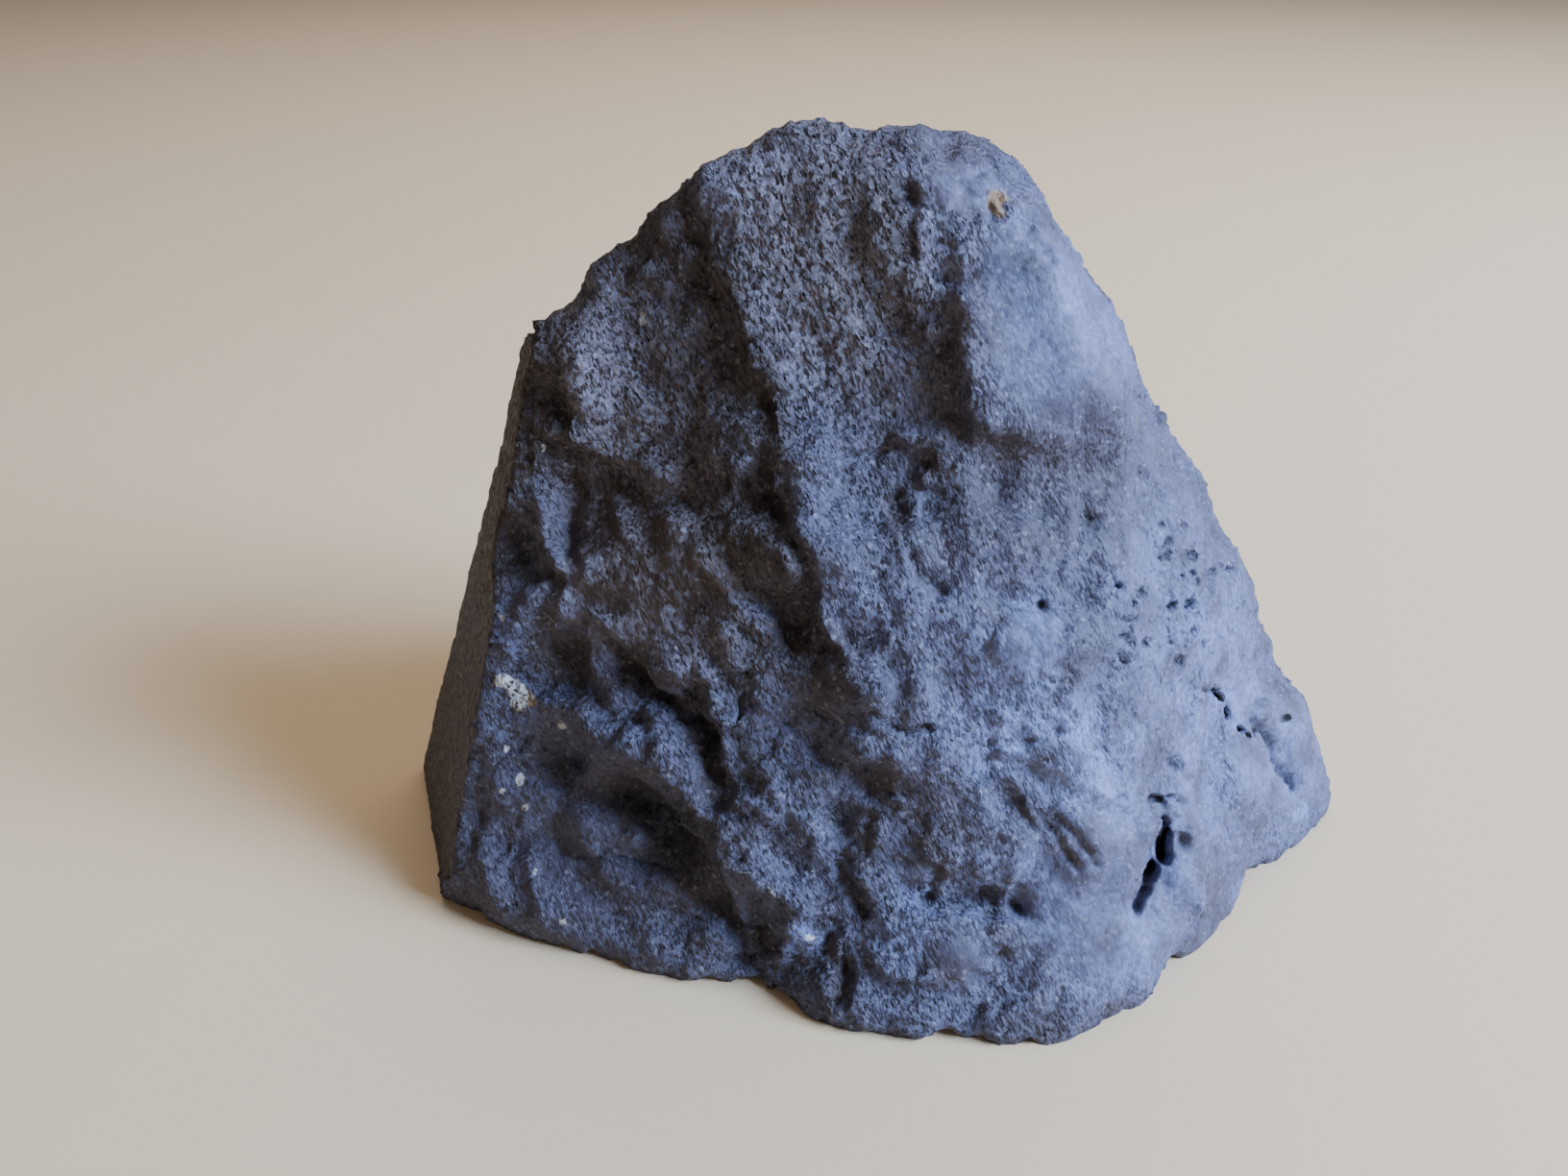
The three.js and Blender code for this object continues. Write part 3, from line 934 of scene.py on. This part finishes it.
# --- Stone: its finish -----------------------------------------------------------------------------
# Matt, nearly black blue-grey stone, with painted brown and black shade in its hollows, pits and
# cracks, painted shade and highlights on its grain, paler worn places whose blue is partly a painted
# sheen, pale grains that partly stand for painted glints, and a few spots of pale quartz.
finish = bpy.data.materials.new("dark stone")
finish.use_nodes = True
tree = finish.node_tree
shader = tree.nodes["Principled BSDF"]


def node(kind, sockets=None, **settings):
    """A new node, its sockets set to numbers or linked to other nodes' outputs."""
    made = tree.nodes.new(kind)
    for name, value in settings.items():
        setattr(made, name, value)
    for name, value in (sockets or {}).items():
        if isinstance(value, bpy.types.NodeSocket):
            tree.links.new(value, made.inputs[name])
        else:
            made.inputs[name].default_value = value
    return made


def mix(factor, first, second):
    """A colour between two colours."""
    return node("ShaderNodeMix", {0: factor, 6: first, 7: second}, data_type="RGBA").outputs[2]


def ramp(value, low, high):
    """0 at one number, 1 at another, and even between them."""
    return node("ShaderNodeMapRange", {"Value": value, "From Min": low, "From Max": high}).outputs["Result"]


def painted(name):
    """The numbers painted on the mesh under a name."""
    return node("ShaderNodeAttribute", attribute_name=name).outputs["Fac"]


def times(first, second):
    return node("ShaderNodeMath", {0: first, 1: second}, operation="MULTIPLY").outputs[0]


def plus(first, second):
    return node("ShaderNodeMath", {0: first, 1: second}, operation="ADD").outputs[0]


def vector(operation, sockets, output="Vector"):
    return node("ShaderNodeVectorMath", sockets, operation=operation).outputs[output]


place = node("ShaderNodeTexCoord").outputs["Object"]


def mottle(size, detail=3):
    """Cloudy blotches of about a size."""
    return node("ShaderNodeTexNoise", {"Vector": place, "Scale": 1 / size, "Detail": detail}).outputs["Fac"]


# The grey, warm grey, tan and quartz colours are the stone's own. The pale blue is partly a painted sheen
# and highlight, the soot, brown and black partly painted shade, and the pale grain partly painted glints.
GREY = (0.079, 0.074, 0.108, 1)
PALE_WORN_AND_SHEEN = (0.240, 0.284, 0.532, 1)
WARM_GREY = (0.185, 0.156, 0.168, 1)
PALE_GRAIN_AND_GLINT = (0.30, 0.31, 0.36, 1)
SOOT_AND_SHADE = (0.024, 0.022, 0.026, 1)
BROWN_AND_SHADE = (0.056, 0.040, 0.034, 1)
BLACK_SHADE_AND_SOOT = (0.007, 0.006, 0.006, 1)
QUARTZ = (0.55, 0.53, 0.50, 1)
TAN = (0.30, 0.20, 0.12, 1)

# The ground colour, pale in worn places, where the pale blue is partly a painted sheen of the cool light.
colour = mix(times(ramp(mottle(5 * MM), 0.3, 0.6), painted("worn_and_sheen")), GREY, PALE_WORN_AND_SHEEN)
colour = mix(times(ramp(mottle(0.7 * MM, 5), 0.44, 0.60), 0.42), colour, GREY)
colour = mix(painted("fluted"), colour, WARM_GREY)
colour = mix(times(ramp(mottle(14 * MM), 0.5, 0.65), 0.35), colour, BROWN_AND_SHADE)

# The grain is drawn out along the way the rock broke.
GRAIN_SIZE = 0.26 * MM
BREAK_WAY = (0.42, -0.35, -0.84)
DRAWN_OUT = -0.55
along = vector("DOT_PRODUCT", {0: place, 1: BREAK_WAY}, "Value")
shorter = vector("SCALE", {0: BREAK_WAY, "Scale": times(along, DRAWN_OUT)})
drawn = vector("ADD", {0: place, 1: shorter})
speckle = node("ShaderNodeTexNoise", {"Vector": drawn, "Scale": 1 / GRAIN_SIZE, "Detail": 3}).outputs["Fac"]
crisp = times(painted("grain"), ramp(painted("fluted"), -1.2, 0.8))
# Painted shade in the low places of the grain and painted highlights on its high places.
colour = mix(times(ramp(speckle, 0.46, 0.36), times(crisp, 0.46)), colour, SOOT_AND_SHADE)
colour = mix(times(ramp(speckle, 0.56, 0.68), times(crisp, 0.42)), colour, PALE_WORN_AND_SHEEN)

# Brown where the stone is marked brown or shaded, painted shade partly the stone's own brown, and
# painted shade, soot-dark and brown, in the hollows.
deep_shade = times(ramp(painted("hollow"), 0.06, 0.45), ramp(painted("grain"), -0.5, 1.5))
colour = mix(times(painted("brown_and_shade"), 0.75), colour, BROWN_AND_SHADE)
colour = mix(times(deep_shade, ramp(painted("fluted"), 1.4, 0.0)), colour, SOOT_AND_SHADE)
colour = mix(times(ramp(painted("hollow"), 0.08, 0.5), 0.5), colour, BROWN_AND_SHADE)

# Single grains, pale ones that partly stand for painted glints, tan and quartz, and the black of the
# pits and cracks, painted shade in part and soot in part.
CELL_SIZE = 0.38 * MM
cells = node("ShaderNodeTexVoronoi", {"Vector": place, "Scale": 1 / CELL_SIZE}).outputs["Color"]
cell_tone = node("ShaderNodeSeparateColor", {"Color": cells}).outputs["Red"]
# Pale grains, partly painted glints.
colour = mix(times(ramp(cell_tone, 0.93, 0.96), 0.3), colour, PALE_GRAIN_AND_GLINT)
colour = mix(times(ramp(cell_tone, 0.25, 0.10), ramp(painted("grain"), -0.2, 2.2)), colour, SOOT_AND_SHADE)
colour = mix(ramp(plus(painted("tan"), mottle(1.5 * MM)), 0.9, 1.2), colour, TAN)
crystals = times(ramp(plus(painted("quartz"), mottle(0.9 * MM, 5)), 0.92, 1.12), ramp(cell_tone, 0.1, 0.45))
colour = mix(crystals, colour, QUARTZ)
blackened_shade = times(painted("soot_and_shade"), ramp(painted("hollow"), -0.06, 0.06))
colour = mix(ramp(blackened_shade, 0.25, 0.7), colour, BLACK_SHADE_AND_SOOT)
tree.links.new(colour, shader.inputs["Base Color"])


# The pits and cracks painted black, for shade and soot, are the dullest.
dull = ramp(mottle(1 * MM), -0.8, 1.4)
dullest = node("ShaderNodeMath", {0: dull, 1: painted("soot_and_shade")}, operation="MAXIMUM").outputs[0]
tree.links.new(dullest, shader.inputs["Roughness"])
shader.inputs["Specular IOR Level"].default_value = 0.3

# Small leaning facets, and the grain on them.
FACET_SIZE = 0.30 * MM
FACET_HEIGHT = 3.6
GRAIN_HEIGHT = 0.36 * MM
facet = node("ShaderNodeTexVoronoi", {"Vector": drawn, "Scale": 1 / FACET_SIZE})
lean = vector("SUBTRACT", {0: facet.outputs["Color"], 1: (0.5, 0.5, 0.5)})
from_middle = vector("SUBTRACT", {0: drawn, 1: facet.outputs["Position"]})
facets = vector("DOT_PRODUCT", {0: lean, 1: from_middle}, "Value")
facet_bump = node("ShaderNodeBump", {"Height": facets, "Distance": FACET_HEIGHT, "Strength": crisp})
grain_bump = node("ShaderNodeBump", {"Height": speckle, "Distance": GRAIN_HEIGHT,
                                     "Strength": painted("grain"), "Normal": facet_bump.outputs["Normal"]})
tree.links.new(grain_bump.outputs["Normal"], shader.inputs["Normal"])
stone.data.materials.clear()
stone.data.materials.append(finish)

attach(stone, "root")
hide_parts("stone")


# --- Floor -----------------------------------------------------------------------------------------
# A plain, pale, matt sheet for the stone to stand on. It is a setting, and no part of the object.
FLOOR_HALF = 3  # metres
PALE_SHEET = (0.76, 0.56, 0.34, 1)
MATT = 0.7

sheet = bmesh.new()
bmesh.ops.create_grid(sheet, x_segments=1, y_segments=1, size=FLOOR_HALF)
floor_mesh = bpy.data.meshes.new("floor")
sheet.to_mesh(floor_mesh)
sheet.free()
floor = bpy.data.objects.new("floor", floor_mesh)
bpy.context.scene.collection.objects.link(floor)
floor_material = bpy.data.materials.new("pale floor")
floor_material.use_nodes = True
floor_shader = floor_material.node_tree.nodes["Principled BSDF"]
floor_shader.inputs["Base Color"].default_value = PALE_SHEET
floor_shader.inputs["Roughness"].default_value = MATT
floor_mesh.materials.append(floor_material)


# --- Light -----------------------------------------------------------------------------------------
# One cool window light from the right, low and in front, a weak warm one from behind, and the faint
# warm light of the room.
WINDOW_BLUE = (0.475, 0.65, 1.0)
CEILING_WARM = (1.0, 0.90, 0.80)
ROOM_WARM = (1.0, 0.93, 0.86, 1)
ROOM_STRENGTH = 0.18
AIM = Vector((0, 0, 0.03))


def lamp(name, azimuth, elevation, distance, size, watts, tint):
    """A square lamp at angles in degrees round the stone, turned to the stone's middle."""
    data = bpy.data.lights.new(name, "AREA")
    data.size = size
    data.energy = watts
    data.color = tint
    turn, rise = math.radians(azimuth), math.radians(elevation)
    way = Vector((math.cos(turn) * math.cos(rise), math.sin(turn) * math.cos(rise), math.sin(rise)))
    offset = way * distance
    lamp_object = bpy.data.objects.new(name, data)
    lamp_object.location = offset + AIM
    lamp_object.rotation_euler = (-offset).to_track_quat("-Z", "Y").to_euler()
    bpy.context.scene.collection.objects.link(lamp_object)


lamp("window", azimuth=-16, elevation=31, distance=0.9, size=0.4, watts=31, tint=WINDOW_BLUE)
lamp("ceiling", azimuth=75, elevation=55, distance=0.9, size=0.9, watts=5, tint=CEILING_WARM)
world = bpy.data.worlds.new("room light")
bpy.context.scene.world = world
world.use_nodes = True
world.node_tree.nodes["Background"].inputs["Color"].default_value = ROOM_WARM
world.node_tree.nodes["Background"].inputs["Strength"].default_value = ROOM_STRENGTH
